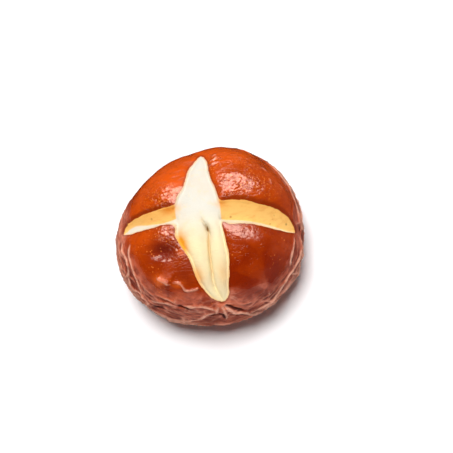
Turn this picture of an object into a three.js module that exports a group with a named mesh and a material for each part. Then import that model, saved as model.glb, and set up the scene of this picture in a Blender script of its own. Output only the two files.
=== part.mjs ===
// A pretzel roll: a round, lye-dipped bread roll with a glossy brown crust. A cross was cut in its top before
// baking and opened in the oven, so four domed lobes of crust stand round the pale crumb.
//
// The roll is one baked piece and one mesh. Its upright section is turned about the Z axis, drawn out to the
// roll's uneven plan, and then raised and lowered by a relief: the lobes, the two cuts and a sunken spot.
//
// Lengths are in millimetres, +Z is up, and the roll stands on the plane z = 0 about the origin.
// The relief is laid out on the crust itself: (x, y) is a place reached by walking sqrt(x*x + y*y) mm from the
// top of the roll, over the surface, in the direction of x and y. The long cut runs along y and the short cut
// along x. "Front" is -y, "back" is +y, "left" is -x and "right" is +x.
import * as THREE from "three";

// The roll.
const RADIUS = 45; // mean radius of the plan
const HEIGHT = 58.5;
const WAIST_HEIGHT = 20; // height of the widest ring
const DOME_POWER = 2.18; // 2 is an ellipse, and more is squarer
const SKIRT_POWER = 2.5; // the same for the side under the waist
const FOOT_CUT = 2.5; // how much of the round underside the tray flattened
const STRETCH = 0.047; // share by which the plan is longer one way
const STRETCH_TURN = 17; // degrees from +x to the long way
const CORNER = 0.025; // share by which three soft corners stand out of the plan
const CORNER_TURN = 67; // degrees from +x to the first corner

// The lobes.
const LOBE_RISE = 1.6; // how far a lobe swells over the turned shape
const LOBE_SHOULDER = 6; // how far from a cut most of that swelling is reached
const LOBE_FLAT = 30; // the swelling begins to fade this far from the top ...
const LOBE_END = 58; // ... and has gone here

// The long cut, which opened wide.
const LONG_BACK = 39; // from the top of the roll to the cut's back end
const LONG_FRONT = 42;
const LONG_HALF = 10.5; // half its width where the cuts cross
const LONG_DEPTH = 2.2;
const LONG_BOW_BACK = 1.8; // how far the back end lies to the right of the middle
const LONG_BOW_FRONT = 4.4;
const LONG_POINT_BACK = 1; // how the back end closes: 1 is pointed, and less is blunter
const LONG_POINT_FRONT = 0.56;
const FLAP_RISE = 1.4; // how far the crumb swells between the crust edges
const SEAM_DEPTH = 1.4; // the fold between the two flaps of crumb, in the front half
const SEAM_HALF = 1.6;
const SEAM_START = 2; // how far in front of the top the fold begins ...
const SEAM_FULL = 9; // ... and reaches its full depth

// The short cut, a furrow with sloping walls.
const SHORT_LEFT = 43;
const SHORT_RIGHT = 50.5;
const SHORT_HALF_LEFT = 4.1;
const SHORT_HALF_RIGHT = 5.8;
const SHORT_DEPTH_LEFT = 3.6;
const SHORT_DEPTH_RIGHT = 5;
const SHORT_OFFSET = 1.8; // how far its middle lies behind the top of the roll
const SHORT_END_LEFT = 4; // y of its left end
const SHORT_END_RIGHT = -9.3;
const SHORT_BEND_RIGHT = 1.5; // 1 is a straight run out to the right end, and more bends late
const SHORT_TAPER = 6; // the higher, the later it narrows towards an end ...
const SHORT_POINT = 0.65; // ... which is pointed at 1, and blunter for less
const SHORT_VALLEY = -0.3; // where its deepest line runs, from -1 at the front edge to 1 at the back edge
const CROSSING_FADE = 5; // the furrow fades this far inside the long cut
const EDGE_RUN = 3.2; // how far inside a crust edge the crumb reaches its full depth

// The sunken spot in the front left lobe.
const SPOT = new THREE.Vector2(-20, -14);
const SPOT_RADIUS = 5;
const SPOT_DEPTH = 1.8;

// The mesh.
const AROUND = 132;
const ALONG = 38; // rings from the top of the dome to the edge of the foot

const { degToRad, lerp, smoothstep } = THREE.MathUtils;

// Half of the upright section, from the top of the dome to the edge of the flat foot. Over the waist and under
// it, it is part of a superellipse: the lower one would reach FOOT_CUT below the foot.
class Section extends THREE.Curve {
  getPoint(t, target = new THREE.Vector2()) {
    const skirt = WAIST_HEIGHT + FOOT_CUT;
    const footAngle = Math.PI - Math.acos((WAIST_HEIGHT / skirt) ** (SKIRT_POWER / 2));
    const angle = t * footAngle;
    const over = angle < Math.PI / 2;
    const power = 2 / (over ? DOME_POWER : SKIRT_POWER);
    const out = RADIUS * Math.sin(angle) ** power;
    const up = Math.abs(Math.cos(angle)) ** power;
    return target.set(out, WAIST_HEIGHT + (over ? (HEIGHT - WAIST_HEIGHT) * up : -skirt * up));
  }
}

// The plan's radius at an angle, as a share of the mean radius.
function planShare(angle) {
  const stretch = STRETCH * Math.cos(2 * (angle - degToRad(STRETCH_TURN)));
  const corners = CORNER * Math.cos(3 * (angle - degToRad(CORNER_TURN)));
  return 1 + stretch + corners;
}

// How a cut lies round a place: how far the place is along it as a share of its reach, how far across it from
// its middle line, its half width there, and how far the place is inside its edge, which is negative outside.
function placeInCut(along, across, reach, half) {
  const past = Math.max(along - reach, 0);
  const inside = past > 0 ? -Math.hypot(past, across) : half - Math.abs(across);
  return { share: Math.min(along / reach, 1), across, half, inside };
}

function placeInLongCut(x, y) {
  const back = y > 0;
  const reach = back ? LONG_BACK : LONG_FRONT;
  const share = Math.min(Math.abs(y) / reach, 1);
  const middle = (back ? LONG_BOW_BACK : LONG_BOW_FRONT) * share ** 2;
  const half = LONG_HALF * (1 - share ** 2) ** (back ? LONG_POINT_BACK : LONG_POINT_FRONT);
  return placeInCut(Math.abs(y), x - middle, reach, half);
}

function placeInShortCut(x, y) {
  const right = x > 0;
  const reach = right ? SHORT_RIGHT : SHORT_LEFT;
  const share = Math.min(Math.abs(x) / reach, 1);
  const end = right ? SHORT_END_RIGHT : SHORT_END_LEFT;
  const middle = lerp(SHORT_OFFSET, end, right ? share ** SHORT_BEND_RIGHT : share);
  const half = (right ? SHORT_HALF_RIGHT : SHORT_HALF_LEFT) * (1 - share ** SHORT_TAPER) ** SHORT_POINT;
  return placeInCut(Math.abs(x), y - middle, reach, half);
}

// How far the crumb lies under the crust's own surface in the long cut: a step down from each crust edge, less
// a swelling across the cut, and in the front half a fold down its middle.
function longCutDepth(x, y) {
  const { share, across, half, inside } = placeInLongCut(x, y);
  if (inside <= 0) {
    return 0;
  }
  const step = smoothstep(inside, 0, EDGE_RUN);
  const swelling = FLAP_RISE * (1 - (across / half) ** 2) * step;
  const foldRun = smoothstep(-y, SEAM_START, SEAM_FULL) * (1 - share ** 4);
  const fold = SEAM_DEPTH * foldRun * Math.exp(-((across / SEAM_HALF) ** 2)) * step;
  return LONG_DEPTH * step - swelling + fold;
}

// The same in the short cut: two walls that meet in a valley, and fade out inside the long cut.
function shortCutDepth(x, y) {
  const { share, across, half, inside } = placeInShortCut(x, y);
  if (inside <= 0) {
    return 0;
  }
  const q = across / half;
  const wall = q > SHORT_VALLEY ? (1 - q) / (1 - SHORT_VALLEY) : (1 + q) / (1 + SHORT_VALLEY);
  const depth = (x > 0 ? SHORT_DEPTH_RIGHT : SHORT_DEPTH_LEFT) * (1 - share ** 4);
  const fade = 1 - smoothstep(placeInLongCut(x, y).inside, 0, CROSSING_FADE);
  return depth * wall * fade;
}

// How far the surface stands over the turned shape at a place on the crust.
function relief(x, y) {
  const fromCut = -Math.max(placeInLongCut(x, y).inside, placeInShortCut(x, y).inside);
  const fromTop = Math.hypot(x, y);
  const swelling = fromCut > 0 ? 1 - Math.exp(-fromCut / LOBE_SHOULDER) : 0;
  const lobe = LOBE_RISE * swelling * (1 - smoothstep(fromTop, LOBE_FLAT, LOBE_END));
  const fromSpot = Math.hypot(x - SPOT.x, y - SPOT.y);
  const spot = SPOT_DEPTH * Math.exp(-((fromSpot / SPOT_RADIUS) ** 2));
  return lobe - spot - Math.max(longCutDepth(x, y), shortCutDepth(x, y));
}

// Turns the section about Z, and moves each vertex out to the plan and up or down by the relief.
function rollGeometry() {
  const section = new Section().getSpacedPoints(ALONG);
  section.push(new THREE.Vector2(0, 0)); // the middle of the foot
  const walked = [0];
  for (let i = 1; i < section.length; i++) {
    walked.push(walked[i - 1] + section[i].distanceTo(section[i - 1]));
  }
  const climbing = section.slice().reverse(); // a lathe's faces point outward when its profile climbs
  const geometry = new THREE.LatheGeometry(climbing, AROUND);
  geometry.rotateX(Math.PI / 2);

  const { position, normal } = geometry.attributes;
  const place = new THREE.Vector3();
  const outward = new THREE.Vector3();
  for (let i = 0; i < position.count; i++) {
    const ring = section.length - 1 - (i % section.length);
    place.fromBufferAttribute(position, i);
    outward.fromBufferAttribute(normal, i);
    const angle = Math.atan2(place.y, place.x);
    const share = planShare(angle);
    place.set(place.x * share, place.y * share, place.z);
    const move = relief(walked[ring] * Math.cos(angle), walked[ring] * Math.sin(angle));
    if (ring > 0) {
      place.addScaledVector(outward, move);
    } else {
      place.z += move;
    }
    position.setXYZ(i, place.x, place.y, Math.max(place.z, 0));
  }

  geometry.computeBoundingBox();
  const centre = geometry.boundingBox.getCenter(new THREE.Vector3());
  geometry.translate(-centre.x, -centre.y, -geometry.boundingBox.min.z);
  return geometry;
}

const crust = new THREE.MeshStandardMaterial({ color: 0x9a3a0c, roughness: 0.35, metalness: 0 });
const roll = new THREE.Mesh(rollGeometry(), crust);
roll.name = "pretzel_roll";

const group = new THREE.Group();
group.add(roll);

export default group;
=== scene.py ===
"""A pretzel roll: a glossy brown bread roll with a pale cross in its top, on a white floor.

The roll is one surface, made by formula. Its upright section is part of two superellipses, from the top of
the dome to the edge of a flat foot. It is turned about Z, drawn out to an uneven plan, and then raised and
lowered along its normal by a relief: lobes of crust, the crumb of two cuts, and folds.

The relief is laid out on the crust itself. (x, y) is the place reached by walking hypot(x, y) mm from the
top of the roll over the surface, in the direction of x and y. The long cut runs along y and the short cut
along x. "Front" is -y, "back" is +y, "left" is -x and "right" is +x. Lengths in the relief are in
millimetres, and its heights are over the turned shape.
"""

import math

import bpy
import numpy as np
from mathutils import Matrix, Vector


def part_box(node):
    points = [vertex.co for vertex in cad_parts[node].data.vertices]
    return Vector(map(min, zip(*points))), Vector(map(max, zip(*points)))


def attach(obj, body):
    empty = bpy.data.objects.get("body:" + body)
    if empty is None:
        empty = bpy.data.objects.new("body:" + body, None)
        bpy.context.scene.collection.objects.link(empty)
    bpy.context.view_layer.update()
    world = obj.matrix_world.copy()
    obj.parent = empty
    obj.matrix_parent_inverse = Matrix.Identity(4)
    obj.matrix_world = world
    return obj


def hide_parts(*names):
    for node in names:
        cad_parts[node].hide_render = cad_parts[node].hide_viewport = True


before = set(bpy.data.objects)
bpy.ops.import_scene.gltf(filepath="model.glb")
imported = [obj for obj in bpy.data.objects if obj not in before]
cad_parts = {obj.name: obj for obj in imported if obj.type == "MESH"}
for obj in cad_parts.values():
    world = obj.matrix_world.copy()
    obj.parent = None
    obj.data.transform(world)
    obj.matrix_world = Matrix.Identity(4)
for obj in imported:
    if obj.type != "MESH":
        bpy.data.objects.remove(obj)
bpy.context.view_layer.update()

bl_info = {
    "name": "Pretzel roll",
    "version": (1, 0, 0),
    "blender": (4, 5, 0),
    "location": "3D View > Sidebar > Roll",
    "description": "A lye-crusted bread roll with a cross cut in its top",
    "category": "Add Mesh",
}

NODE = "pretzel_roll"
MM = 0.001

# The turned shape, in millimetres. The drawn-out plan and the height follow the CAD solid.
WAIST_HEIGHT = 20.0
DOME_POWER = 2.18
SKIRT_POWER = 2.5
FOOT_CUT = 2.5
STRETCH = (0.047, math.radians(17))
CORNERS = (0.025, math.radians(67))

# Places on the fine section that the grid's rings are picked from, and how the rings are spread: an even
# share of the way down, and the rest by a power, which draws them together on the dome, where the cuts are.
SECTION_STEPS = 4001
EVEN_SHARE = 0.62
SPREAD_POWER = 2.4

# Steps from the roll's lowest ring to the middle of its foot.
FOOT_STEPS = 8

# Points put on a smooth curve for each point of a cut's outline, and of a fold's line.
OUTLINE_STEPS = 4
FOLD_STEPS = 5

# The long cut's two crust edges and the fold between its two flaps of crumb, from back to front: (y, x).
LONG_LEFT = [
    (39, 2), (34, 0), (28, -3.5), (22, -5), (16.5, -6.5), (11.5, -9.5), (6, -11), (-1, -11), (-6.5, -12),
    (-11.5, -10.5), (-17, -7.5), (-26.5, -5.5), (-32, -4), (-39.5, 0.5), (-42.5, 4.5),
]
LONG_RIGHT = [
    (39, 2.5), (37, 3.5), (33.5, 5), (23, 6.5), (17.5, 7.5), (12.5, 9), (6, 10), (-2.5, 10), (-8, 10.5),
    (-14, 11), (-19, 11.5), (-28, 10.5), (-34, 9.5), (-39.5, 8.5), (-42, 6.5), (-42.5, 4.5),
]
SEAM = [(8, 1), (2, 0.5), (-2, 1.5), (-4.5, 2.5), (-7, 3.5), (-12.5, 3), (-25, 2.5), (-34, 2.5), (-41, 4.5)]

# The crumb in the long cut: (height at its edges, how far its middle swells over them).
BACK_CRUMB = (-1.9, 1.5)
FRONT_FLAPS = (-2.6, 2.9)
FRONT_TIP = (-1.5, 1.2)
SEAM_DEPTH = 1.3
SEAM_WIDTH = 0.45

# The short cut's back edge, deepest line and front edge in each arm, outwards: (distance from x = 0, y).
RIGHT_BACK = [
    (4, 6), (16.5, 6), (21.5, 5.5), (29, 3.5), (37, 2), (42, 0), (45.5, -2), (48.5, -5.5), (50, -9),
]
RIGHT_DEEP = [(4, -1.5), (10, -2), (19, -3), (32, -5.5), (39.5, -7.5), (45.5, -9), (50, -9.5)]
RIGHT_FRONT = [
    (4, -2.5), (10.5, -4), (12.5, -5), (23, -6), (32, -8), (39.5, -9.5), (44.5, -10), (50, -9.5),
]
LEFT_BACK = [(4, 7.5), (19, 7.5), (34, 7), (39.5, 6), (41.5, 5), (42.5, 2.5)]
LEFT_DEEP = [(4, 1.5), (11.5, 1.5), (19, 1), (26.5, 2), (39.5, 3.5), (42.5, 2)]
LEFT_FRONT = [(4, -2.5), (11, -2), (16.5, -1), (24, -1), (31.5, -0.5), (39.5, 0.5), (42.5, 1.5)]

# How deep the short cut's deepest line lies in each arm, outwards: (distance from x = 0, depth).
RIGHT_DEPTH = [(0, 4.6), (12, 4.9), (30, 4.4), (44, 2.4), (50, 0.8)]
LEFT_DEPTH = [(0, 3.0), (12, 3.4), (28, 3.0), (38, 1.8), (43, 0.6)]

# How deep the short cut's crumb lies where it meets the crust, how high the crumb's lumps are, the reach
# that rounds the cuts' crossing, and the least width that a share across each cut's crumb is taken over.
CRUMB_EDGE_DEPTH = 0.4
CRUMB_LUMPS = 0.10
CROSSING_ROUNDING = 3.0
LEAST_LONG_WIDTH = 0.6
LEAST_SHORT_WIDTH = 0.4

# How far the left and the right lobe of crust stand up, how widely they round down to the cuts, how far from
# the roll's top they start and end to level out, and how deep the crust's edge lies.
BACK_RISES = (3.2, 4.2)
FRONT_RISES = (1.9, 2.1)
LOBE_ROUNDING = 6.0
LOBE_END = (34.0, 60.0)
CRUST_EDGE_DEPTH = 0.25

# How deep the leathery creases are, and how high the lumps between them and the crust's broad lumps are.
CREASE_DEPTH = 0.36
LEATHER_LUMPS = 0.25
CRUST_LUMPS = 0.6

# Soft oval patches: (strength, x, y, width, depth). First a spot sunk into the front left lobe, a swelling
# of the front right lobe, and the pit beside the seam, all in millimetres, and how far the pit is shaded.
SUNKEN_SPOT = (2.0, -19.5, -13.8, 6.5, 3.4)
SWELLING = (0.5, 28.0, -14.5, 6.5, 4.0)
PIT = (1.6, 3.1, -5.9, 1.0, 2.2)
PIT_SHADE = (1.0, 3.1, -5.9, 0.6, 1.5)

# Patches of crust that are darker, that are golden, the first with a painted glow round the highlight on
# the front left lobe's big fold, and that are creased like leather.
DARK_PATCHES = [(0.85, -17.3, -12.3, 7.5, 4.8), (0.35, -10.0, -25.0, 5.0, 6.0)]
GOLDEN_AND_GLOW = [
    (0.9, -22.5, -25.5, 3.6, 2.6), (0.8, -9.8, -15.2, 1.8, 1.2), (0.5, -14.0, -29.0, 3.0, 1.6),
    (0.5, 6.0, -46.0, 6.5, 2.4), (0.45, -17.0, -35.5, 5.0, 2.0), (0.35, -26.5, -31.5, 3.0, 2.5),
]
LEATHERY = [
    (1.0, 20.0, 13.0, 11.0, 6.5), (0.45, 18.0, -9.5, 10.0, 3.5), (1.0, -17.0, 12.0, 9.0, 6.0),
    (0.8, -16.0, -5.0, 6.0, 4.0), (0.7, 8.0, 28.0, 5.0, 5.0), (0.8, -12.0, -13.0, 5.0, 6.0),
    (0.5, 33.0, 12.0, 6.0, 6.0), (0.5, 24.0, 24.0, 9.0, 9.0),
]

# Patches of crumb that caught the heat.
TOASTED = [
    (1.4, -9.6, -12.0, 3.0, 5.6), (0.7, -4.4, -27.0, 2.8, 4.6), (0.4, 7.6, -27.5, 2.6, 6.0),
    (1.0, -14.0, 6.4, 4.5, 2.4), (0.3, -24.0, 5.0, 12.0, 2.5), (0.7, 11.0, 5.4, 2.6, 2.2),
]

# How bright the crust is at places on it, partly as the oven left it and partly painted light on the back
# lobes and painted shade on the front ones: (x, y, share), dark chestnut at 0 and orange at 1.
BROWNING_AND_SHADE = [
    (20, 30, 0.95), (24, 22, 0.48), (18, 10, 0.52), (38, 10, 0.42), (48, 6, 0.30), (10, 45, 1.0),
    (45, 25, 0.75), (-16, 24, 1.0), (-31, 17, 0.66), (-21, 14, 0.62), (-40, 12, 0.60), (-14, 42, 1.0),
    (24, -12, 0.24), (21, -21, 0.06), (18, -30, 0.05), (38, -15, 0.22), (30, -28, 0.02), (14, -40, 0.10),
    (-28, -8, 0.68), (-20, -13, 0.02), (-11, -21, 0.22), (-26, -23, 0.28), (-15, -6, 0.45), (-38, -6, 0.62),
    (-14, -30, 0.15), (-34, -20, 0.35), (-25, -34, 0.20), (0, -48, 0.15), (0, 60, 0.8), (-60, 0, 0.5),
    (60, 0, 0.4),
]
BROWNING_AND_SHADE_REACH = 6.5

# Folds in the crust: (height, width above, width below, points). "Above" is the side nearer the roll's top.
FOLDS = [
    # Down the left side, from the short cut's end round to the front.
    (1.0, 0.8, 1.6, [
        (-42, -2), (-43, -7), (-40.5, -12.5), (-41, -16.5), (-45, -20.5), (-47.5, -25), (-46, -29.5),
    ]),
    (0.9, 0.8, 1.6, [(-47.5, -27), (-40, -33), (-40, -37), (-43, -42)]),
    (0.8, 0.8, 1.4, [(-48.5, 1), (-48.5, -8), (-52.5, -18.5), (-54.5, -26.5)]),
    (0.8, 0.7, 1.4, [(-35.5, -5), (-37.5, -8.5), (-37.5, -19), (-38, -25), (-40, -33)]),
    (0.5, 0.6, 1.3, [(-35.5, -23.5), (-34.5, -27.5), (-29, -36.5)]),
    (0.8, 0.6, 1.2, [(-53.5, -17), (-50, -19), (-46.5, -20.5)]),
    # On the front left lobe: two short bright rolls and the crease that runs on from them into the long cut.
    (0.5, 0.8, 1.2, [(-24, -15.5), (-21.5, -17), (-19, -18)]),
    (3.0, 3.2, 5.0, [(-23, -23.5), (-20, -26), (-17.5, -28)]),
    (1.2, 0.6, 1.1, [(-16.5, -27), (-12.5, -29), (-11.5, -32), (-8.5, -33), (-3, -32.5)]),
    # Round the front, under the lobes.
    (0.8, 0.8, 1.4, [(-37.5, -36), (-28.5, -37.5), (-23.5, -38), (-19.5, -41)]),
    (0.6, 0.6, 1.2, [(-26, -33), (-21.5, -36.5), (-18.5, -39.5)]),
    (1.0, 0.8, 1.6, [(-44.5, -42.5), (-44, -48), (-38.5, -52.5), (-32, -55)]),
    (0.9, 0.8, 1.6, [(-50.5, -46), (-41.5, -55), (-34.5, -58.5), (-23, -56), (-13, -55)]),
    (0.8, 0.7, 1.3, [(-16, -41), (-11.5, -42), (-5.5, -43), (1, -47)]),
    (1.0, 0.7, 1.3, [(-14.5, -55), (-10.5, -53), (-5, -49.5), (1.5, -49)]),
    (0.9, 0.5, 0.9, [(2.5, -43.5), (1, -47), (0, -49.5)]),
    (0.9, 0.5, 0.9, [(4, -43.5), (4.5, -47.5), (5, -52), (4.5, -60)]),
    (1.2, 0.7, 1.3, [(5, -43.5), (8, -49.5), (11.5, -53), (17, -55), (22, -59), (31, -61)]),
    # Up the right side.
    (0.9, 0.6, 1.2, [(47.5, -12.5), (46, -18), (44.5, -23.5), (45.5, -28.5)]),
    (1.2, 0.8, 1.6, [
        (57.5, -17), (54, -25), (44.5, -36), (40.5, -43.5), (33.5, -52), (25, -55), (19, -56.5),
    ]),
    (0.9, 0.7, 1.3, [(54, -10), (59.5, -19), (61, -33.5), (56, -41.5), (43, -49)]),
    (0.7, 0.6, 1.1, [(47.5, -33), (53, -34.5), (60.5, -34.5)]),
    (0.5, 0.6, 1.2, [(31, -39.5), (32.5, -50.5)]),
    # On the back right lobe: one down its outer side, three small ones by the long cut, and five across it.
    (1.1, 0.9, 1.6, [(36, 33.5), (41, 28), (45, 22.5), (49, 17), (51.5, 11), (54, 5), (55.5, -2)]),
    (1.0, 0.5, 0.9, [(6, 26), (8.5, 26.5), (11, 26.5)]),
    (1.0, 0.5, 0.9, [(7, 29), (9.5, 29.5), (11, 30.5)]),
    (0.8, 0.5, 0.9, [(8, 31.5), (10.5, 32)]),
    (0.5, 0.5, 0.9, [(23, 38), (26, 37), (28.5, 33.5)]),
    (0.45, 0.4, 0.8, [(29, 22), (32, 21.5), (34, 19)]),
    (0.45, 0.4, 0.8, [(34, 16), (34.5, 13)]),
    (0.4, 0.4, 0.8, [(38.5, 15), (41.5, 13)]),
    (0.5, 0.7, 1.6, [(13, 19), (15.5, 17.5), (18, 18), (22, 16)]),
]

# Hollows in the crust: (depth, width, points).
HOLLOWS = [
    (1.3, 1.0, [(-18.5, -41), (-15, -43.5)]),
    (1.3, 1.2, [(-4.5, -51), (-1, -51), (2.5, -53), (4, -58)]),
    (1.3, 1.3, [(6.5, -45.5), (10, -48.5), (14.5, -52)]),
    (1.3, 1.0, [(11.5, -57), (15.5, -58)]),
    (1.6, 1.2, [(46, -38.5), (44, -42.5)]),
    (0.9, 1.3, [(-51, -22.5), (-49.5, -26.5)]),
    (0.9, 1.5, [(-38, -40.5), (-31.5, -42)]),
    (0.7, 1.2, [(57, -5), (57.5, -6)]),
]

# How far the folds' lines sway to and fro.
FOLD_SWAY = 0.7

# The wrinkled skin low on the roll: how far from the roll's top it starts and how far it takes to be whole,
# at the front left and at the back right, and how deep it lies.
SKIN_STARTS = (31.0, 42.0)
SKIN_RUNS = (14.0, 20.0)
SKIN_DEPTH = 0.4

# The skin's coarse and fine wrinkles: the girth their cells are laid out on, how far the cells are warped,
# how they are drawn out along the girth, and the width and the height of the crests between them.
GIRTH_RADIUS = 45.0
WRINKLE_WARP = 5.0
WRINKLE_STRETCH = (0.5, 0.5, 1.25)
COARSE_WIDTH = 0.13
COARSE_HEIGHT = 1.5
FINE_WIDTH = 0.16
FINE_HEIGHT = 0.35

# Whole numbers that scatter a lattice's corners, so that each gets a value of its own.
CORNER_PRIMES = np.array([73856093, 19349663, 83492791])
SEED_PRIME = 2654435761
STIR_PRIME = 1274126177
KEPT_BITS = 0x7FFFFFFF
DICE_BITS = 0xFFFF

# The stage, in metres and degrees. A place is its angle from the front, turning right, and its angle over
# the floor.
FLOOR_HALF = 2.0
LAMP_DISTANCE = 1.1
KEY_PLACE = (174.0, 82.0)
KEY_SIZE = (0.5, 0.5)
GLOSS_PLACE = (168.0, 62.0)
GLOSS_SIZE = (1.7, 0.8)
GLOSS_COLOUR = (1.0, 0.96, 0.86)
SKY_COLOUR = (1.0, 0.97, 1.0, 1.0)
PAPER_COLOUR = (0.95, 0.95, 0.96, 1.0)
WHITE = (1.0, 1.0, 1.0, 1.0)
CAMERA_PLACE = (19.45, 70.67)
CAMERA_ROLL = -27.27
CAMERA_AIM = (0.00944, 0.00336, 0.02533)
CAMERA_LENS = 56.0
CAMERA_SENSOR = 36.0
CAMERA_CLIP = 0.01


def smooth(value, low, high):
    """0 at low, 1 at high, and an S-curve between them."""
    share = np.clip((value - low) / (high - low), 0.0, 1.0)
    return share * share * (3.0 - 2.0 * share)


def bell(value, width):
    """1 where value is 0, falling away to either side like a bell of that width."""
    return np.exp(-((value / width) ** 2))


def mix(a, b, share):
    """a where share is 0, b where it is 1, and a straight line between them."""
    return a + (b - a) * share


def patch(spot, x, y):
    """A soft oval patch: strength times a bell in x times a bell in y, round the patch's middle."""
    strength, middle_x, middle_y, width, depth = spot
    return strength * np.exp(-(((x - middle_x) / width) ** 2) - (((y - middle_y) / depth) ** 2))


def patches(spots, x, y):
    """The strongest of several soft oval patches."""
    return np.maximum.reduce([patch(spot, x, y) for spot in spots])


def through(points, at):
    """The height at each place of a smooth curve through (place, height) points, level past its ends.

    Between two points it is a cubic, with the slope at each point taken from the points beside it.
    """
    points = np.asarray(points, dtype=float)
    places, heights = points[np.argsort(points[:, 0])].T
    slopes = np.gradient(heights, places)
    k = np.clip(np.searchsorted(places, at) - 1, 0, len(places) - 2)
    run = places[k + 1] - places[k]
    u = np.clip((at - places[k]) / run, 0.0, 1.0)
    rise = heights[k + 1] - heights[k]
    ends = (slopes[k] * run - rise) * (1 - u) - (slopes[k + 1] * run - rise) * u
    return heights[k] + rise * u + u * (1 - u) * ends


def resample(points, steps):
    """That many times as many points, evenly spread on a smooth curve through the points of a bent line."""
    points = np.array(points, dtype=float)
    along = np.concatenate([[0.0], np.cumsum(np.linalg.norm(np.diff(points, axis=0), axis=1))])
    at = np.linspace(0.0, along[-1], steps * len(points))
    return np.stack([through(np.stack([along, points[:, i]], 1), at) for i in (0, 1)], 1)


def from_line(points, x, y):
    """Each place's distance from a bent line, the nearest point's share of the way along it, and whether the
    place lies farther than that point from the top of the roll."""
    points = np.asarray(points, dtype=float)
    lengths = np.linalg.norm(np.diff(points, axis=0), axis=1)
    starts = np.concatenate([[0.0], np.cumsum(lengths)])
    best = np.full(x.shape, np.inf)
    share = np.zeros(x.shape)
    lower = np.zeros(x.shape, dtype=bool)
    walked = np.hypot(x, y)
    for (ax, ay), (bx, by), length, start in zip(points[:-1], points[1:], lengths, starts):
        u = np.clip(((x - ax) * (bx - ax) + (y - ay) * (by - ay)) / length**2, 0.0, 1.0)
        near_x, near_y = ax + u * (bx - ax), ay + u * (by - ay)
        away = np.hypot(x - near_x, y - near_y)
        nearer = away < best
        best = np.where(nearer, away, best)
        share = np.where(nearer, (start + u * length) / starts[-1], share)
        lower = np.where(nearer, walked > np.hypot(near_x, near_y), lower)
    return best, share, lower


def inside_outline(outline, x, y):
    """Each place's distance from a closed outline, negative outside it."""
    closed = np.vstack([outline, outline[:1]])
    away, _, _ = from_line(closed, x, y)
    within = np.zeros(x.shape, dtype=bool)
    for (ax, ay), (bx, by) in zip(closed[:-1], closed[1:]):
        if ay != by:
            crosses = ((ay > y) != (by > y)) & (x < ax + (y - ay) * (bx - ax) / (by - ay))
            within ^= crosses
    return np.where(within, away, -away)


def soft_max(a, b, reach):
    """The larger of two fields, with the corner where they are equal rounded over that reach."""
    overlap = np.clip(1.0 - np.abs(a - b) / reach, 0.0, 1.0)
    return np.maximum(a, b) + reach * overlap**3 / 6.0


def corner_codes(corners, seed):
    """A whole number for each lattice corner, made of its three counts and the seed."""
    along_x, along_y, along_z = np.moveaxis(corners * CORNER_PRIMES, -1, 0)
    return along_x ^ along_y ^ along_z ^ (seed * SEED_PRIME)


def stir(codes):
    """The next whole number after each of these, in an order that looks random."""
    return (codes ^ (codes >> 13)) * STIR_PRIME & KEPT_BITS


def dice(codes):
    """A throw from 0 to DICE_BITS for each whole number."""
    return (codes ^ (codes >> 16)) & DICE_BITS


def noise(points, size, seed):
    """Smooth lattice noise from -1 to 1, at points of shape (..., 3), with lumps of about that size.

    Each corner of the lattice has a random value, and a place takes its eight corners' values, each weighted
    by a quintic S-curve of its nearness along each axis.
    """
    cells = np.asarray(points) / size
    corner = np.floor(cells).astype(np.int64)
    part = cells - corner
    part = part**3 * (part * (part * 6.0 - 15.0) + 10.0)
    total = np.zeros(cells.shape[:-1])
    for step in np.ndindex(2, 2, 2):
        value = dice(stir(corner_codes(corner + step, seed))) / (DICE_BITS / 2) - 1.0
        total += value * np.abs(1 - np.array(step) - part).prod(-1)
    return total


def layered(points, size, seed, layers=3):
    """Noise with finer, weaker noise added to it: each layer has half the size and half the strength."""
    return sum(noise(points, size / 2**i, seed + i) / 2**i for i in range(layers)) / 1.6


def cell_borders(points, size, seed):
    """Irregular cells of about that size: the distance to the second nearest seed less the nearest one's."""
    cells = np.asarray(points) / size
    corner = np.floor(cells).astype(np.int64)
    nearest = np.full(cells.shape[:-1], np.inf)
    second = np.full(cells.shape[:-1], np.inf)
    for step in np.ndindex(3, 3, 3):
        spot = corner + step - 1
        codes = corner_codes(spot, seed)
        jitter = []
        for _ in range(3):
            codes = stir(codes)
            jitter.append(dice(codes) / (DICE_BITS + 1))
        away = np.linalg.norm(spot + np.stack(jitter, -1) - cells, axis=-1)
        second = np.minimum(second, np.maximum(away, nearest))
        nearest = np.minimum(nearest, away)
    return second - nearest


def fine_section(radius, height):
    """The upright section in fine steps, from the top of the dome to the edge of the foot.

    With t from 0 at the top, it lies radius * sin(t)^(2 / power) out. Over the waist it is the dome's height
    times cos(t)^(2 / power) up, and under the waist the skirt's depth times that down, until it meets the
    foot. Returns the share of the radius, the height, and the distance walked from the top.
    """
    skirt = WAIST_HEIGHT + FOOT_CUT
    foot_turn = math.pi - math.acos((WAIST_HEIGHT / skirt) ** (SKIRT_POWER / 2))
    turn = np.linspace(0.0, foot_turn, SECTION_STEPS)
    on_dome = turn < math.pi / 2
    power = np.where(on_dome, 2 / DOME_POWER, 2 / SKIRT_POWER)
    out = np.sin(turn) ** power
    up = np.abs(np.cos(turn)) ** power
    high = np.where(on_dome, WAIST_HEIGHT + (height - WAIST_HEIGHT) * up, WAIST_HEIGHT - skirt * up)
    walked = np.concatenate([[0.0], np.cumsum(np.hypot(radius * np.diff(out), np.diff(high)))])
    return out, high, walked


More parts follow.
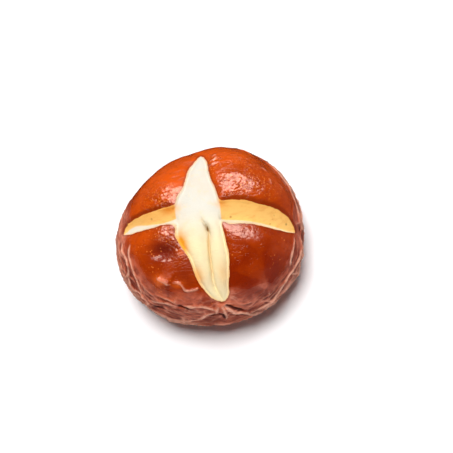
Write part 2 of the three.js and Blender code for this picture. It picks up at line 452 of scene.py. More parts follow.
def section_grid(rings, around, width, height):
    """The turned shape on a grid: rows from the top of the dome to the edge of the foot, columns round it.

    The section's radius is drawn out by cos 2a and cos 3a, a being the column's angle. Returns the points,
    their normals, the distance walked from the top, and the columns' angles.
    """
    angle = np.linspace(0.0, 2.0 * math.pi, around, endpoint=False)
    drawn_out = STRETCH[0] * np.cos(2 * (angle - STRETCH[1]))
    cornered = CORNERS[0] * np.cos(3 * (angle - CORNERS[1]))
    plan = 1.0 + drawn_out + cornered
    radius = width / 2
    out, high, walked = fine_section(radius, height)
    steps = np.linspace(0.0, 1.0, rings)
    at = walked[-1] * (steps * EVEN_SHARE + (1 - EVEN_SHARE) * steps**SPREAD_POWER)
    out, high = np.interp(at, walked, out), np.interp(at, walked, high)

    reach = radius * out[:, None] * plan[None, :]
    points = np.stack([reach * np.cos(angle), reach * np.sin(angle), high[:, None] + 0 * angle], -1)
    slope_out, slope_up = np.gradient(radius * out, at), np.gradient(high, at)
    tilt = np.hypot(slope_out, slope_up)
    level = (-slope_up / tilt)[:, None]
    upright = (slope_out / tilt)[:, None]
    normals = np.stack([level * np.cos(angle), level * np.sin(angle), upright + 0 * angle], -1)
    strides = np.hypot(np.diff(reach, axis=0), np.diff(points[..., 2], axis=0))
    distance = np.vstack([np.zeros(around), np.cumsum(strides, axis=0)])
    return points, normals, distance, angle


def cut_fields(x, y):
    """How far each place is inside the long cut and inside the short cut, negative outside them."""
    long_outline = np.vstack([
        resample([(px, py) for py, px in LONG_LEFT], OUTLINE_STEPS),
        resample([(px, py) for py, px in LONG_RIGHT[::-1]], OUTLINE_STEPS)[1:-1],
    ])
    right_back = resample(RIGHT_BACK, OUTLINE_STEPS)
    right_front = resample(RIGHT_FRONT, OUTLINE_STEPS)
    left_back = resample([(-out, py) for out, py in LEFT_BACK], OUTLINE_STEPS)
    left_front = resample([(-out, py) for out, py in LEFT_FRONT], OUTLINE_STEPS)
    short_outline = np.vstack([left_front[::-1], right_front, right_back[::-1], left_back])
    return inside_outline(long_outline, x, y), inside_outline(short_outline, x, y)


def long_crumb(x, y):
    """The crumb in the long cut: one low swelling behind, and two flaps with a seam between them in front.

    The swelling is a parabola across the cut. Each flap is (4 s (1 - s))^0.75 across its own width, s being
    the share of the way across it, and the seam is a bell-shaped groove.
    """
    left, right = through(LONG_LEFT, y), through(LONG_RIGHT, y)
    seam = through(SEAM, y)
    half = np.maximum((right - left) / 2, LEAST_LONG_WIDTH)
    across = np.clip((x - (left + right) / 2) / half, -1.0, 1.0)
    back = BACK_CRUMB[0] + BACK_CRUMB[1] * (1 - across**2)
    left_share = np.clip((seam - x) / np.maximum(seam - left, LEAST_LONG_WIDTH), 0.0, 1.0)
    right_share = np.clip((x - seam) / np.maximum(right - seam, LEAST_LONG_WIDTH), 0.0, 1.0)
    share = np.where(x < seam, left_share, right_share)
    swell = (4 * share * (1 - share)) ** 0.75
    groove = SEAM_DEPTH * bell(x - seam, SEAM_WIDTH) * (1 - smooth(-y, 24.0, 36.0))
    flaps = FRONT_FLAPS[0] + FRONT_FLAPS[1] * swell - groove
    flaps = mix(flaps, FRONT_TIP[0] + FRONT_TIP[1] * swell, smooth(-y, 34.0, 41.0))
    crumb = mix(back, flaps, smooth(-y, -1.0, 7.0))
    return crumb - patch(PIT, x, y)


def in_arm(right_line, left_line, x):
    """The value at each place of the short cut's line in the arm that the place lies in."""
    out = np.abs(x)
    return np.where(x > 0, through(right_line, out), through(left_line, out))


def short_crumb(x, y):
    """The crumb in the short cut: a long wall down from the back edge, and a short one up to the front edge.

    Each wall climbs from the deepest line by a power of the share of the way up it. Also returns where the
    back wall is, and the share of the way up it.
    """
    back = in_arm(RIGHT_BACK, LEFT_BACK, x)
    deep = in_arm(RIGHT_DEEP, LEFT_DEEP, x)
    front = in_arm(RIGHT_FRONT, LEFT_FRONT, x)
    depth = in_arm(RIGHT_DEPTH, LEFT_DEPTH, x)
    up_back = np.clip((y - deep) / np.maximum(back - deep, LEAST_SHORT_WIDTH), 0.0, 1.0)
    up_front = np.clip((deep - y) / np.maximum(deep - front, LEAST_SHORT_WIDTH), 0.0, 1.0)
    wall = np.where(y > deep, up_back**0.85, up_front**0.8)
    height = -depth * (1 - wall) - CRUMB_EDGE_DEPTH * wall
    return height, smooth(y - deep, -0.5, 0.5), up_back


def lobe_relief(x, y, walked, outside):
    """Four lobes of crust, with a sunken spot in one and a swelling on another.

    A lobe is its rise times (1 - e^(-distance from the cuts / rounding)), and it levels out down the sides.
    """
    rightward = smooth(x, -6.0, 6.0)
    rise = mix(mix(*FRONT_RISES, rightward), mix(*BACK_RISES, rightward), smooth(y, -4.0, 4.0))
    fade = 1 - smooth(walked, *LOBE_END)
    lobe = rise * (1 - np.exp(-outside / LOBE_ROUNDING)) * fade - CRUST_EDGE_DEPTH
    return lobe - patch(SUNKEN_SPOT, x, y) + patch(SWELLING, x, y)


def add_folds(height, x, y, outside, pale):
    """Adds the folds, each its height times e^(-distance from its line / width), fading out at its ends.

    Also returns where the folds' crests get a painted highlight: how near each place is to one, by how pale
    the crests are there.
    """
    crest_highlight = np.zeros_like(x)
    away_from_cut = smooth(outside, 0.0, 2.0)
    for fold_height, above, below, line in FOLDS:
        away, share, lower = from_line(resample(line, FOLD_STEPS), x, y)
        ends = smooth(share, -0.15, 0.2) * (1 - smooth(share, 0.8, 1.15)) * away_from_cut
        width = np.where(lower, below, above)
        height = height + fold_height * np.exp(-away / width) * ends
        nearness = 0.6 * bell(away, 1.1) + 0.5 * bell(away, 0.45)
        crest_highlight = np.maximum(crest_highlight, nearness * ends * min(fold_height, 1.0) * pale)
    return height, crest_highlight


def add_hollows(height, x, y):
    """Takes away the hollows, each its depth times a bell round its line. Also returns where they are, for
    the painted shade in them.
    """
    hollow_shade = np.zeros_like(x)
    for depth, width, line in HOLLOWS:
        away, _, _ = from_line(resample(line, FOLD_STEPS), x, y)
        height = height - depth * bell(away, width)
        hollow_shade = np.maximum(hollow_shade, bell(away, 0.8 * width))
    return height, hollow_shade


def skin_wrinkles(angle, walked):
    """Wrinkles round the roll's lower side, coarse and fine: thin crests between shallow cells.

    The cells lie on a cylinder as wide as the roll, drawn out along its girth, and the crests rise as
    e^(-distance from the cells' border / width).
    """
    around = (np.cos(angle) * GIRTH_RADIUS, np.sin(angle) * GIRTH_RADIUS)
    turned = np.stack(np.broadcast_arrays(*around, walked), -1)
    warp = np.stack([layered(turned, size=17.0, seed=seed) for seed in (11, 23, 37)], -1)
    stretched = (turned + WRINKLE_WARP * warp) * WRINKLE_STRETCH
    strength = smooth(layered(turned, size=15.0, seed=7), -0.5, 0.5)
    coarse = np.exp(-cell_borders(stretched, size=8.5, seed=5) / COARSE_WIDTH) * mix(0.35, 1.0, strength)
    fine = np.exp(-cell_borders(stretched, size=3.6, seed=71) / FINE_WIDTH) * mix(1.0, 0.3, strength)
    return coarse, fine


def skin_share(x, y, walked, points):
    """Where the crust is a wrinkled skin: 0 on the lobes and 1 low on the roll, lower down at the back."""
    far_side = smooth(y + 0.9 * x, -30.0, 10.0)
    starts = mix(*SKIN_STARTS, far_side)
    ends = starts + mix(*SKIN_RUNS, far_side)
    return smooth(walked + 5.0 * layered(points, size=9.0, seed=83), starts, ends)


def browning_and_shade(x, y):
    """The crust's brightness, partly painted light and shade: an average of the listed places' shares, by 1
    / (distance^2 + reach^2)^2.
    """
    weights = np.zeros_like(x)
    total = np.zeros_like(x)
    for px, py, share in BROWNING_AND_SHADE:
        weight = 1.0 / (np.hypot(x - px, y - py) ** 2 + BROWNING_AND_SHADE_REACH**2) ** 2
        weights += weight
        total += weight * share
    return total / weights


def over_surroundings(height, passes=12):
    """How far each place stands over the average of the places round it."""
    average = height
    for _ in range(passes):
        ends = np.pad(average, ((1, 1), (0, 0)), "edge")
        average = (np.roll(average, 1, 1) + np.roll(average, -1, 1) + ends[:-2] + ends[2:]) / 4
    return height - average


def crust_relief(x, y, walked, angle, points, outside):
    """The crust: lobes, folds and hollows, leathery creases, and a wrinkled skin low down.

    Also returns the fields that colour it.
    """
    wavy_x = x + FOLD_SWAY * layered(points, size=6.0, seed=61)
    wavy_y = y + FOLD_SWAY * layered(points, size=6.0, seed=67)
    uneven = 0.8 + 0.45 * layered(points, size=2.5, seed=101, layers=2)
    # How strong the painted highlight on the fold crests is: weak on the lobes, strong low down.
    pale = mix(0.45, 1.3, smooth(walked, 26.0, 41.0)) * uneven
    height, crest_highlight = add_folds(lobe_relief(x, y, walked, outside), wavy_x, wavy_y, outside, pale)
    height, hollow_shade = add_hollows(height, wavy_x, wavy_y)

    leather = patches(LEATHERY, x, y)
    warped = points + 0.8 * layered(points, size=4.0, seed=19)[..., None]
    creased = np.exp(-cell_borders(warped, size=2.4, seed=29) / 0.25)
    lumps = layered(points, size=2.6, seed=47, layers=2)
    height = height - CREASE_DEPTH * leather * creased + LEATHER_LUMPS * leather * lumps

    above_foot = smooth(points[..., 2], 0.2, 6.0)
    skin = skin_share(x, y, walked, points) * above_foot
    in_front = smooth(-y, -5.0, 10.0) * (1 - smooth(walked, 55.0, 66.0))
    wild = skin * mix(1.0, 0.6, in_front)
    coarse, fine = skin_wrinkles(angle, walked)
    height = height + wild * COARSE_HEIGHT * coarse + skin * (FINE_HEIGHT * fine - SKIN_DEPTH)
    height = height + CRUST_LUMPS * layered(points, size=14.0, seed=3) * above_foot
    fields = {
        "browning_and_shade": browning_and_shade(x, y),
        "leather": leather,
        "skin": skin,
        "crest_highlight": np.maximum(crest_highlight, 1.1 * wild * coarse + 0.38 * skin * fine),
        "proud": over_surroundings(height),
        "hollow_shade": hollow_shade,
        "dark_patch": patches(DARK_PATCHES, x, y),
        "gold_and_glow": patches(GOLDEN_AND_GLOW, x, y),
    }
    return height, fields


def crumb_relief(x, y, in_cut, in_long, in_short, points):
    """The crumb of both cuts, the long one over the short one. Also returns the fields that colour it."""
    short, back_wall, up_wall = short_crumb(x, y)
    height = mix(short, long_crumb(x, y), smooth(in_long, -2.6, 1.6))
    height = height + CRUMB_LUMPS * layered(points, size=3.0, seed=91)
    beside_short = (1 - smooth(-in_short, 0.6, 3.4)) * smooth(-in_short, -0.5, 0.3)
    seam = bell(x - through(SEAM, y), 0.5) * smooth(-y, 2.0, 6.0) * (1 - smooth(-y, 26.0, 35.0))
    fields = {
        "in_cut": in_cut,
        "in_long": in_long,
        "back_wall": back_wall,
        "up_wall": up_wall,
        # Painted shade on the crust where it rounds down behind the short cut's back edge.
        "lip": back_wall * beside_short * smooth(-in_long, 0.0, 2.5),
        "toast": patches(TOASTED, x, y),
        "seam": seam * smooth(in_long, 0.0, 2.0),
        "pit": patch(PIT_SHADE, x, y),
        "across_y": y,
    }
    return height, fields


def roll_relief(points, angle, walked):
    """The whole relief, and the fields that colour it, such as where crumb is toasted."""
    x, y = walked * np.cos(angle), walked * np.sin(angle)
    in_long, in_short = cut_fields(x, y)
    in_cut = soft_max(in_long, in_short, CROSSING_ROUNDING)
    crust, crust_fields = crust_relief(x, y, walked, angle, points, np.maximum(-in_cut, 0.0))
    crumb, crumb_fields = crumb_relief(x, y, in_cut, in_long, in_short, points)
    return mix(crust, crumb, smooth(in_cut, -0.1, 1.1)), crust_fields | crumb_fields


def closed_vertices(points):
    """The grid's points as one list: the top, every ring below it, the foot's rings and the foot's middle.

    The foot's rings are the lowest ring drawn in evenly towards the middle.
    """
    inward = np.linspace(1.0, 0.0, FOOT_STEPS + 1)[1:-1]
    foot = points[-1] * inward[:, None, None]
    body = np.concatenate([points[1:], foot])
    return np.vstack([points[0, :1], body.reshape(-1, 3), np.zeros((1, 3))])


def closed_field(values):
    """A field's values in the order of the vertices. The foot takes those of the lowest ring."""
    foot = np.tile(values[-1], FOOT_STEPS - 1)
    return np.concatenate([values[0, :1], values[1:].ravel(), foot, values[-1, :1]])


def closed_faces(rows, around):
    """Squares between the rings, and a fan of triangles at the top and one at the foot's middle."""
    column = np.arange(around)
    after = (column + 1) % around
    upper = 1 + np.arange(rows - 1)[:, None] * around
    lower = upper + around
    squares = np.stack([upper + column, lower + column, lower + after, upper + after], -1).reshape(-1, 4)
    top = np.stack([np.zeros(around, int), 1 + column, 1 + after], 1)
    last = 1 + (rows - 1) * around
    bottom = np.stack([np.full(around, last + around), last + after, last + column], 1)
    return squares.tolist() + top.tolist() + bottom.tolist()


def centre_on_cad(vertices):
    """Moves the vertices so that their box is centred over the CAD solid's box and stands on the floor."""
    low, high = vertices.min(0), vertices.max(0)
    cad_low, cad_high = (np.array(corner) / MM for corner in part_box(NODE))
    vertices[:, :2] += (cad_low[:2] + cad_high[:2] - low[:2] - high[:2]) / 2
    vertices[:, 2] -= low[2]


def add_object(name, data):
    """Puts a mesh, lamp or camera into the scene, at the origin."""
    piece = bpy.data.objects.new(name, data)
    bpy.context.scene.collection.objects.link(piece)
    return piece


def build_roll(name, width, height, rings, around):
    """Makes the roll: each point of the turned shape's grid is moved along its normal by the relief."""
    points, normals, walked, angle = section_grid(rings, around, width, height)
    relief, fields = roll_relief(points, angle, walked)
    relief[0] = relief[0].mean()
    points = points + normals * relief[..., None]
    points[..., 2] = np.maximum(points[..., 2], 0.0)
    vertices = closed_vertices(points)
    centre_on_cad(vertices)

    mesh = bpy.data.meshes.new(name)
    rows = (len(vertices) - 2) // around
    mesh.from_pydata((vertices * MM).tolist(), [], closed_faces(rows, around))
    for field, values in fields.items():
        mesh.attributes.new(field, "FLOAT", "POINT").data.foreach_set("value", closed_field(values))
    mesh.shade_smooth()
    mesh.update()
    return add_object(name, mesh)


def opaque(colour):
    """A colour with full alpha, as a shader's socket takes it."""
    return tuple(colour) + (1.0,)


def linear(red, green, blue):
    """A linear opaque colour from an sRGB colour in steps of 0 to 255."""
    shares = (c / 255 for c in (red, green, blue))
    return opaque(c / 12.92 if c <= 0.04045 else ((c + 0.055) / 1.055) ** 2.4 for c in shares)


# The crumb's colours. The plain crumb's own is a property, as are the two ends of the crust's colour
# from dark to bright, which is partly the oven's work and partly painted light and shade.
FLAP_CREAM = linear(244, 226, 178)
CREAM_MOTTLE = linear(244, 216, 166)
PINK_MOTTLE = linear(226, 200, 170)
WALL_FOOT = linear(243, 192, 108)
WALL_TOP = linear(236, 179, 92)
WALL_STREAK = linear(222, 148, 66)
WALL_PORE = linear(150, 100, 34)
TOASTED_FLAP = linear(238, 154, 24)
TOASTED_WALL = linear(212, 118, 0)
CRUMB_RIM = linear(236, 168, 76)
SEAM_SHADE = linear(206, 168, 116)
PIT_SHADE_BROWN = linear(150, 108, 40)

# The crust's colours.
BLISTER = linear(250, 150, 60)
# The low skin's mauve: its own red-brown, with a painted reflection of the white floor.
DARK_SKIN_AND_SHEEN = linear(154, 54, 24)
PALE_SKIN_AND_SHEEN = linear(210, 106, 74)
SKIN_VALLEY_SHADE = linear(112, 34, 16)
DARK_PATCH = linear(100, 27, 22)
GOLD_AND_GLOW = linear(236, 100, 18)
SPECK_AND_GLINT = linear(244, 132, 56)
CREST_HIGHLIGHT = linear(246, 184, 154)
HOLLOW_SHADE = linear(84, 24, 10)
CREASE_SHADE = linear(130, 30, 0)
CUT_EDGE_AND_SHADE = linear(124, 36, 4)


class Nodes:
    """Short names for the shader nodes that the materials are made of."""

    def __init__(self, tree):
        self.tree = tree
        tree.nodes.clear()

    def put(self, value, socket):
        """Links another node's socket to this one, or sets this one to a plain value."""
        if isinstance(value, bpy.types.NodeSocket):
            self.tree.links.new(value, socket)
        else:
            socket.default_value = value

    def add(self, kind, inputs=None, **settings):
        """A node of that kind, with its settings, and its inputs by name or number."""
        node = self.tree.nodes.new(kind)
        for key, value in settings.items():
            setattr(node, key, value)
        for key, value in (inputs or {}).items():
            self.put(value, node.inputs[key])
        return node

    def field(self, name):
        """One of the fields kept on the mesh."""
        return self.add("ShaderNodeAttribute", attribute_name=name).outputs["Fac"]

    def place(self, stretch=None):
        """The place on the object, in metres, multiplied by stretch along each axis."""
        place = self.add("ShaderNodeTexCoord").outputs["Object"]
        if stretch is None:
            return place
        return self.add("ShaderNodeMapping", {"Vector": place, "Scale": stretch}).outputs["Vector"]

    def maths(self, operation, a, b=0.5, clamp=False):
        """The result of a sum on one or two values."""
        return self.add("ShaderNodeMath", {0: a, 1: b}, operation=operation, use_clamp=clamp).outputs[0]

    def times(self, a, b, clamp=False):
        """The product of two values."""
        return self.maths("MULTIPLY", a, b, clamp)

    def ramp(self, value, low, high, to_low=0.0, to_high=1.0):
        """An S-curve from to_low at low to to_high at high."""
        inputs = {"Value": value, "From Min": low, "From Max": high, "To Min": to_low, "To Max": to_high}
        return self.add("ShaderNodeMapRange", inputs, interpolation_type="SMOOTHSTEP").outputs["Result"]

    def blend(self, share, a, b):
        """Colour a where share is 0 and colour b where it is 1."""
        node = self.add("ShaderNodeMix", data_type="RGBA")
        for identifier, value in (("Factor_Float", share), ("A_Color", a), ("B_Color", b)):
            self.put(value, next(i for i in node.inputs if i.identifier == identifier))
        return next(o for o in node.outputs if o.identifier == "Result_Color")

    def tint(self, colour, field, low, high, most, tint):
        """The colour, blended by at most that share towards a tint as a field goes from low to high."""
        return self.blend(self.ramp(self.field(field), low, high, 0.0, most), colour, tint)

    def noise(self, scale, detail=2.0, roughness=0.5, place=None, distortion=0.0):
        """Clouds from 0 to 1, finer for a larger scale."""
        inputs = {
            "Vector": place or self.place(),
            "Scale": scale,
            "Detail": detail,
            "Roughness": roughness,
            "Distortion": distortion,
        }
        return self.add("ShaderNodeTexNoise", inputs).outputs["Fac"]

    def dots(self, scale):
        """The distance to the middle of the nearest of many scattered cells."""
        inputs = {"Vector": self.place(), "Scale": scale}
        return self.add("ShaderNodeTexVoronoi", inputs).outputs["Distance"]

    def finish(self, inputs):
        """A Principled shader with those inputs, as the material's surface."""
        shader = self.add("ShaderNodeBsdfPrincipled", inputs)
        self.add("ShaderNodeOutputMaterial", {"Surface": shader.outputs["BSDF"]})


def wall_colour(n):
    """The short cut's back wall: tan crumb with streaks drawn out along the cut, and pores."""
    wall = n.blend(n.ramp(n.field("up_wall"), 0.1, 1.0), WALL_FOOT, WALL_TOP)
    streaks = n.noise(scale=420.0, detail=4.0, roughness=0.65, place=n.place((0.35, 1.2, 1.2)))
    wall = n.blend(n.ramp(streaks, 0.45, 0.75, 0.0, 0.6), wall, WALL_STREAK)
    return n.blend(n.ramp(n.dots(210.0), 0.08, 0.16, 0.6, 0.0), wall, WALL_PORE)


def crumb_colour(n, look):
    """Cream crumb: toasted patches, a tan back wall in the short cut, a golden rim by the crust, and painted
    shade in the seam and the pit.
    """
    mottle = n.noise(scale=300.0, detail=3.0)
    blots = n.noise(scale=85.0, detail=4.0, roughness=0.6)
    pale = n.blend(n.ramp(n.field("across_y"), 6.0, -16.0), opaque(look.crumb), FLAP_CREAM)
    pale = n.blend(n.ramp(mottle, 0.52, 0.72, 0.0, 0.4), pale, CREAM_MOTTLE)
    pale = n.blend(n.ramp(blots, 0.45, 0.7, 0.0, 0.3), pale, PINK_MOTTLE)
    on_wall = n.times(n.field("back_wall"), n.ramp(n.field("in_long"), 0.2, -0.6))
    crumb = n.blend(on_wall, pale, wall_colour(n))
    toast = n.times(n.field("toast"), n.ramp(mottle, 0.2, 0.7, 0.75, 1.0), clamp=True)
    crumb = n.blend(toast, crumb, n.blend(on_wall, TOASTED_FLAP, TOASTED_WALL))
    crumb = n.tint(crumb, "in_cut", 0.9, 0.0, 0.5, CRUMB_RIM)
    # Painted shade in the seam's groove and in the pit.
    crumb = n.tint(crumb, "seam", 0.2, 1.0, 0.45, SEAM_SHADE)
    return n.tint(crumb, "pit", 0.25, 0.9, 0.85, PIT_SHADE_BROWN)


def crease_lines(n):
    """Fine creases across the crust: 1 along the lines where a drawn-out noise crosses its middle value."""
    drawn_out = n.place((0.5, 1.3, 1.3))
    cloud = n.noise(scale=190.0, detail=4.0, roughness=0.6, place=drawn_out, distortion=0.3)
    off_middle = n.maths("ABSOLUTE", n.maths("SUBTRACT", cloud, 0.5))
    return n.ramp(off_middle, 0.0, 0.035, 1.0, 0.0)


def baked_crust(n, look, cloud):
    """Crust from dark chestnut to bright orange, partly as the oven coloured it and partly painted light and
    shade, with pale blisters where it is leathery.
    """
    browned_and_shaded = n.maths("ADD", n.field("browning_and_shade"), n.ramp(cloud, 0.3, 0.7, -0.12, 0.14), clamp=True)
    crust = n.blend(browned_and_shaded, opaque(look.crust_dark_and_shaded), opaque(look.crust_bright_and_lit))
    fine = n.noise(scale=1300.0, detail=1.0)
    blisters = n.times(n.ramp(fine, 0.58, 0.68), n.field("leather"))
    return n.blend(n.times(blisters, 0.7), crust, BLISTER)


def low_skin_and_sheen(n, crust, cloud):
    """The crust with a dull mauve skin low down, partly its own red-brown and partly a painted reflection of
    the white floor, with painted shade in the valleys between its wrinkles.
    """
    skin = n.ramp(n.maths("ADD", n.field("skin"), n.ramp(cloud, 0.3, 0.7, -0.25, 0.2)), 0.08, 1.0)
    tone = n.ramp(n.noise(scale=110.0, detail=5.0, roughness=0.65), 0.38, 0.62)
    # The skin's mauve, partly a painted reflection of the white floor.
    crust = n.blend(skin, crust, n.blend(tone, DARK_SKIN_AND_SHEEN, PALE_SKIN_AND_SHEEN))
    # Painted shade in the skin's valleys, where the relief lies under its surroundings.
    valley_shade = n.times(skin, n.ramp(n.field("proud"), 0.0, -0.35, 0.0, 0.85))
    return n.blend(valley_shade, crust, SKIN_VALLEY_SHADE)


def baked_marks(n, crust, cloud):
    """The crust with its darker and golden patches, a painted glow round one highlight, and pale speckling:
    small blisters with a painted glint.
    """
    darkened = n.times(n.field("dark_patch"), n.ramp(cloud, 0.25, 0.6, 0.6, 1.0))
    crust = n.blend(darkened, crust, DARK_PATCH)
    # Golden crust, and a painted glow round the highlight on the front left lobe's big fold.
    crust = n.blend(n.field("gold_and_glow"), crust, GOLD_AND_GLOW)
    # Pale specks: small blisters, with a painted glint.
    speckled = n.ramp(n.noise(scale=70.0, detail=4.0, roughness=0.65), 0.5, 0.62)
    specks_and_glints = n.times(n.ramp(n.dots(620.0), 0.12, 0.28, 0.7, 0.0), speckled)
    return n.blend(specks_and_glints, crust, SPECK_AND_GLINT)


def crust_colour(n, look, creased):
    """The crust, with its skin and marks, its painted highlights on the crests, its painted shade in the
    hollows and creases, and its dark edges by the cuts, with painted shade behind the short cut.
    """
    cloud = n.noise(scale=90.0, detail=5.0, roughness=0.62, distortion=0.5)
    crust = baked_marks(n, low_skin_and_sheen(n, baked_crust(n, look, cloud), cloud), cloud)
    # Painted highlights on the crests of the folds and wrinkles.
    crust = n.tint(crust, "crest_highlight", 0.2, 0.9, 0.72, CREST_HIGHLIGHT)
    # Painted shade in the hollows.
    crust = n.tint(crust, "hollow_shade", 0.2, 1.0, 0.8, HOLLOW_SHADE)
    # Painted shade along the fine creases.
    crust = n.blend(n.times(creased, 0.25), crust, CREASE_SHADE)
    # The crust's own dark edge by the cuts, and painted shade where it rounds down behind the short cut.
    by_cut = n.ramp(n.field("in_cut"), -1.2, -0.2, 0.0, 0.5)
    edge = n.maths("MAXIMUM", by_cut, n.ramp(n.field("lip"), 0.0, 1.0, 0.0, 0.75))
    return n.blend(edge, crust, CUT_EDGE_AND_SHADE)


def roll_bump(n, is_crumb, creased):
    """The finest relief, as a bent normal: leathery grain with creases, fainter on the crumb."""
    inputs = {"Vector": n.place(), "Scale": 640.0, "Smoothness": 0.6}
    cells = n.add("ShaderNodeTexVoronoi", inputs, feature="SMOOTH_F1").outputs["Distance"]
    fine = n.noise(scale=520.0, detail=3.0, roughness=0.55, distortion=0.6)
    grain = n.maths("SUBTRACT", n.maths("ADD", cells, fine), n.times(creased, 1.1))
    leathery = n.ramp(n.field("leather"), 0.0, 1.0, 0.32, 1.1)
    height = n.times(grain, n.ramp(is_crumb, 0.0, 1.0, leathery, 0.35))
    bump = n.add("ShaderNodeBump", {"Height": height, "Strength": 0.5, "Distance": 0.0003})
    return bump.outputs["Normal"]


def roll_material(look):
    """Glossy crust and matt crumb in one material, parted along the crust's ragged edge."""
    material = bpy.data.materials.new("crust_and_crumb")
    material.use_nodes = True
    n = Nodes(material.node_tree)
    ragged = n.ramp(n.noise(scale=300.0, detail=3.0), 0.2, 0.8, -0.22, 0.22)
    is_crumb = n.ramp(n.maths("ADD", n.field("in_cut"), ragged), -0.12, 0.12)
    creased = crease_lines(n)
    skin = n.ramp(n.field("skin"), 0.1, 0.9)
    crust_roughness = n.ramp(skin, 0.0, 1.0, 0.23, 0.42)
    crust_coat = n.ramp(skin, 0.0, 1.0, 0.4, 0.15)
    n.finish({
        "Base Color": n.blend(is_crumb, crust_colour(n, look, creased), crumb_colour(n, look)),
        "Roughness": n.ramp(is_crumb, 0.0, 1.0, crust_roughness, 0.85),
        "Normal": roll_bump(n, is_crumb, creased),
        "Coat Weight": n.ramp(is_crumb, 0.0, 1.0, crust_coat, 0.0),
        "Coat Roughness": 0.12,
    })
    return material


def floor_material(glow, backdrop):
    """White paper that throws light of its own back at the roll, and fades into the backdrop far away."""
    material = bpy.data.materials.new("floor_white")
    material.use_nodes = True
    n = Nodes(material.node_tree)
    ray = n.add("ShaderNodeLightPath").outputs
    away = n.add("ShaderNodeVectorMath", {0: n.place()}, operation="LENGTH").outputs["Value"]
    thrown = n.times(ray["Is Diffuse Ray"], n.ramp(away, 0.05, 0.09, 0.0, glow))
    faded = n.times(ray["Is Camera Ray"], n.ramp(away, 0.25, 0.9, 0.0, backdrop))
    n.finish({
        "Base Color": PAPER_COLOUR,
        "Roughness": 0.9,
        "Specular IOR Level": 0.1,
        "Emission Color": WHITE,
        "Emission Strength": n.maths("ADD", thrown, faded),
    })
    return material


def direction(azimuth, elevation):
    """The unit vector towards a place at that angle from the front, turning right, and that height."""
    a, e = math.radians(azimuth), math.radians(elevation)
    return Vector((math.sin(a) * math.cos(e), -math.cos(a) * math.cos(e), math.sin(e)))


def facing(back, roll, position):
    """A matrix for a camera or lamp at that position that looks along minus back, rolled by that angle."""
    right = Vector((0, 0, 1)).cross(back).normalized()
    up = back.cross(right)
    turn = math.radians(roll)
    x_axis = math.cos(turn) * right + math.sin(turn) * up
    y_axis = math.cos(turn) * up - math.sin(turn) * right
    matrix = Matrix((x_axis, y_axis, back)).transposed().to_4x4()
    matrix.translation = position
    return matrix


def add_floor(look):
    """A square of white paper that the gloss doesn't show."""
    half = FLOOR_HALF
    corners = [(-half, -half, 0), (half, -half, 0), (half, half, 0), (-half, half, 0)]
    mesh = bpy.data.meshes.new("floor")
    mesh.from_pydata(corners, [], [(0, 1, 2, 3)])
    mesh.materials.append(floor_material(look.floor_glow, look.backdrop))
    floor = add_object("floor", mesh)
    floor.visible_glossy = False


def add_lamp(name, place, size, power):
    """An oval lamp at that place, facing the origin."""
    lamp = bpy.data.lights.new(name, "AREA")
    lamp.shape = "ELLIPSE"
    lamp.size, lamp.size_y = size
    lamp.energy = power
    piece = add_object(name, lamp)
    back = direction(*place)
    piece.matrix_world = facing(back, 0.0, back * LAMP_DISTANCE)
    return piece


def add_lamps(look):
    """One lamp lights the roll, and a wider one is only mirrored in its gloss."""
    key = add_lamp("key_lamp", KEY_PLACE, KEY_SIZE, look.key_power)
    key.visible_glossy = False
    gloss = add_lamp("gloss_lamp", GLOSS_PLACE, GLOSS_SIZE, look.gloss_power)
    gloss.visible_diffuse = False
    gloss.data.color = GLOSS_COLOUR


def add_camera(look):
    """The camera, which looks down on the roll from its front right."""
    camera = bpy.data.cameras.new("camera")
    camera.lens = CAMERA_LENS
    camera.sensor_width = CAMERA_SENSOR
    camera.clip_start = CAMERA_CLIP
    piece = add_object("camera", camera)
    back = direction(*CAMERA_PLACE)
    piece.matrix_world = facing(back, CAMERA_ROLL, Vector(CAMERA_AIM) + back * look.camera_distance)
    bpy.context.scene.camera = piece


def add_sky(look):
    """An even light that the gloss doesn't show. The camera sees it as a backdrop of its own brightness."""
    world = bpy.data.worlds.new("sky")
    world.use_nodes = True
    bpy.context.scene.world = world
    world.cycles_visibility.glossy = False
    n = Nodes(world.node_tree)
    seen = n.add("ShaderNodeLightPath").outputs["Is Camera Ray"]
    inputs = {"Color": SKY_COLOUR, "Strength": n.ramp(seen, 0.0, 1.0, look.sky, look.backdrop)}
    background = n.add("ShaderNodeBackground", inputs)
    n.add("ShaderNodeOutputWorld", {"Surface": background.outputs["Background"]})


class RollLook(bpy.types.PropertyGroup):
    """Sizes and colours of the roll."""

    width: bpy.props.FloatProperty(
        name="Mean width", description="Mean width of the plan", unit="LENGTH", default=0.09, min=0.04
    )
    height: bpy.props.FloatProperty(
        name="Height", description="Height of the turned shape", unit="LENGTH", default=0.0585, min=0.03
    )
    rings: bpy.props.IntProperty(name="Rings", description="Rows of the grid", default=203, min=20)
    around: bpy.props.IntProperty(name="Around", description="Columns of the grid", default=470, min=24)
    # The bright end is partly painted light on the back lobes, and the dark end partly painted shade on the
    # front ones.
    crust_bright_and_lit: bpy.props.FloatVectorProperty(
        name="Bright crust",
        description="Crust on the back lobes",
        subtype="COLOR",
        default=linear(222, 84, 0)[:3],
    )
    crust_dark_and_shaded: bpy.props.FloatVectorProperty(
        name="Dark crust",
        description="Crust on the front lobes",
        subtype="COLOR",
        default=linear(138, 34, 0)[:3],
    )
    crumb: bpy.props.FloatVectorProperty(
        name="Crumb",
        description="Crumb in the cuts",
        subtype="COLOR",
        default=linear(221, 216, 203)[:3],
    )


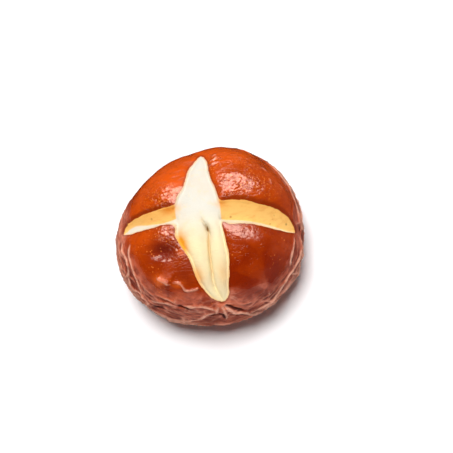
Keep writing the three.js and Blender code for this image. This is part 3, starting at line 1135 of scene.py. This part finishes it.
class StageLook(bpy.types.PropertyGroup):
    """The floor, the light and the camera."""

    key_power: bpy.props.FloatProperty(
        name="Key light", description="Power of the lamp that lights the roll", unit="POWER", default=14.4
    )
    gloss_power: bpy.props.FloatProperty(
        name="Gloss light",
        description="Power of the lamp that only the gloss shows",
        unit="POWER",
        default=26.5,
    )
    sky: bpy.props.FloatProperty(name="Sky", description="Strength of the even light", default=0.08)
    backdrop: bpy.props.FloatProperty(
        name="Backdrop", description="Brightness of the backdrop", default=0.8
    )
    floor_glow: bpy.props.FloatProperty(
        name="Floor glow", description="Extra light from the floor round the roll", default=1.15
    )
    camera_distance: bpy.props.FloatProperty(
        name="Camera distance", description="From the point looked at", unit="LENGTH", default=0.3488
    )


class ROLL_OT_build(bpy.types.Operator):
    """Build the roll and its material"""

    bl_idname = "roll.build"
    bl_label = "Build the roll"

    def execute(self, context):
        """Builds the roll, which rides on the root and stands in for the CAD solid."""
        look = context.scene.roll_look
        piece = build_roll("roll_baked", look.width / MM, look.height / MM, look.rings, look.around)
        piece.data.materials.append(roll_material(look))
        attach(piece, "root")
        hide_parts(NODE)
        return {"FINISHED"}


class ROLL_OT_stage(bpy.types.Operator):
    """Add the floor, the lamps, the sky and the camera"""

    bl_idname = "roll.stage"
    bl_label = "Build the stage"

    def execute(self, context):
        """Builds everything that isn't part of the roll."""
        look = context.scene.stage_look
        add_floor(look)
        add_lamps(look)
        add_sky(look)
        add_camera(look)
        context.scene.view_settings.view_transform = "Standard"
        return {"FINISHED"}


class ROLL_PT_panel(bpy.types.Panel):
    """The roll's operators and settings"""

    bl_label = "Pretzel roll"
    bl_idname = "ROLL_PT_panel"
    bl_space_type = "VIEW_3D"
    bl_region_type = "UI"
    bl_category = "Roll"

    def draw(self, context):
        """Lists the operators, then each group's settings."""
        for operator in (ROLL_OT_build, ROLL_OT_stage):
            self.layout.operator(operator.bl_idname)
        for group in (context.scene.roll_look, context.scene.stage_look):
            for name in group.__annotations__:
                self.layout.prop(group, name)


CLASSES = (RollLook, StageLook, ROLL_OT_build, ROLL_OT_stage, ROLL_PT_panel)


def register():
    """Registers the classes and gives the scene its two groups of settings."""
    for cls in CLASSES:
        bpy.utils.register_class(cls)
    bpy.types.Scene.roll_look = bpy.props.PointerProperty(type=RollLook)
    bpy.types.Scene.stage_look = bpy.props.PointerProperty(type=StageLook)


def unregister():
    """Undoes register, in the opposite order."""
    del bpy.types.Scene.stage_look
    del bpy.types.Scene.roll_look
    for cls in reversed(CLASSES):
        bpy.utils.unregister_class(cls)


def main():
    """Builds the roll and the stage."""
    register()
    bpy.ops.roll.build()
    bpy.ops.roll.stage()


if __name__ == "__main__":
    main()
